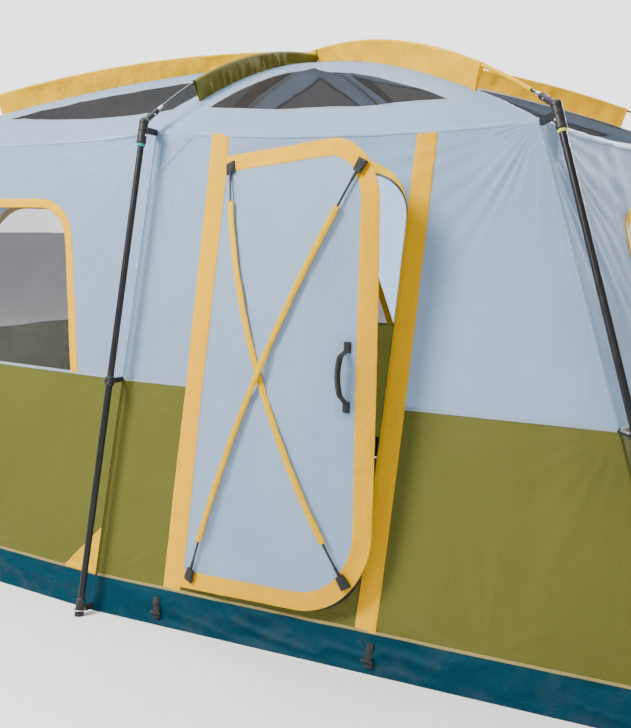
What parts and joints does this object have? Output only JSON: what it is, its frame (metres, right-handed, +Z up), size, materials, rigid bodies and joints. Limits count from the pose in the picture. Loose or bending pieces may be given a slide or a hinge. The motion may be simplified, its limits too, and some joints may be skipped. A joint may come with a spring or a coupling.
{
  "type": "cabin tent",
  "caption": "Family cabin tent: leaning cloth walls on a tub floor, crossed sleeved roof poles on outside legs, mesh windows and roof, and a hinged cloth door on sprung rods.",
  "frame": {"origin": "centre of the footprint, on the ground", "axes": "+X along the front wall towards its door half, +Y from the front wall into the tent, +Z up"},
  "size_m": [4.354, 3.239, 2.1978],
  "materials": {
    "grey_cloth": "coated polyester, light blue-grey",
    "olive_cloth": "coated polyester, olive",
    "tub_cloth": "coated oxford cloth, deep teal",
    "yellow_cloth": "coated polyester, golden yellow",
    "dark_olive_cloth": "coated polyester, dark olive",
    "insect_mesh": "fine dark insect mesh",
    "leg_steel": "black powder coat",
    "pole_glassfibre": "black glass fibre",
    "fitting_plastic": "black nylon",
    "ring_plastic": "coloured marker ring",
    "webbing": "black webbing",
    "ring_steel": "plated wire",
    "zip_plastic": "black nylon coil"
  },
  "bodies": {
    "tent": {"cable_port_patch": "yellow_cloth", "door_arch_trim": "yellow_cloth", "door_header": "grey_cloth", "door_sill": "olive_cloth", "door_strip_left": "yellow_cloth", "door_strip_right": "yellow_cloth", "door_wall_left_lower": "olive_cloth", "door_wall_left_upper": "grey_cloth", "door_wall_right_lower": "olive_cloth", "door_wall_right_upper": "grey_cloth", "floor_sheet": "tub_cloth", "foot_rings": "ring_steel", "foot_straps": "webbing", "hub_rings": "ring_plastic", "hubs": "fitting_plastic", "leg_clips": "fitting_plastic", "leg_feet": "fitting_plastic", "leg_lower": "leg_steel", "leg_upper": "leg_steel", "roof_back_left_border": "grey_cloth", "roof_back_left_mesh": "insect_mesh", "roof_back_right_border": "grey_cloth", "roof_back_right_mesh": "insect_mesh", "roof_front_left_border": "grey_cloth", "roof_front_left_mesh": "insect_mesh", "roof_front_right_border": "grey_cloth", "roof_front_right_mesh": "insect_mesh", "roof_left_border": "grey_cloth", "roof_left_mesh": "insect_mesh", "roof_pole_left": "pole_glassfibre", "roof_pole_middle": "pole_glassfibre", "roof_pole_right": "pole_glassfibre", "roof_right_border": "grey_cloth", "roof_right_mesh": "insect_mesh", "roof_sleeve_left": "yellow_cloth", "roof_sleeve_middle": "dark_olive_cloth", "roof_sleeve_right": "yellow_cloth", "stake_loops": "webbing", "tub_band": "tub_cloth", "wall_back_left_lower": "olive_cloth", "wall_back_left_upper": "grey_cloth", "wall_back_right_lower": "olive_cloth", "wall_back_right_upper": "grey_cloth", "wall_front_left_lower": "olive_cloth", "wall_front_left_upper": "grey_cloth", "wall_left_lower": "olive_cloth", "wall_left_upper": "grey_cloth", "wall_right_lower": "olive_cloth", "wall_right_upper": "grey_cloth", "window_screens": "insect_mesh", "window_trims": "yellow_cloth", "zip_coil": "zip_plastic"},
    "door": {"door_panel": "grey_cloth", "door_border": "yellow_cloth", "door_rod_back": "pole_glassfibre", "door_rod_front": "pole_glassfibre", "door_rod_sleeves": "yellow_cloth", "door_pockets": "webbing", "door_handle": "webbing"},
    "zip_slider": {"zip_slider": "zip_plastic"}
  },
  "joints": [
    {"name": "door_hinge", "type": "hinge", "parent": "tent", "child": "door", "pos_m": [0.36959, -1.51763, 0.00206], "axis": [0.028, -0.2052, -0.9783], "range_deg": [-2.5, 130]},
    {"name": "door_zip", "type": "slide", "parent": "tent", "child": "zip_slider", "axis": [0, -0.2069, -0.9784], "range_m": [-1.14, 0]}
  ]
}
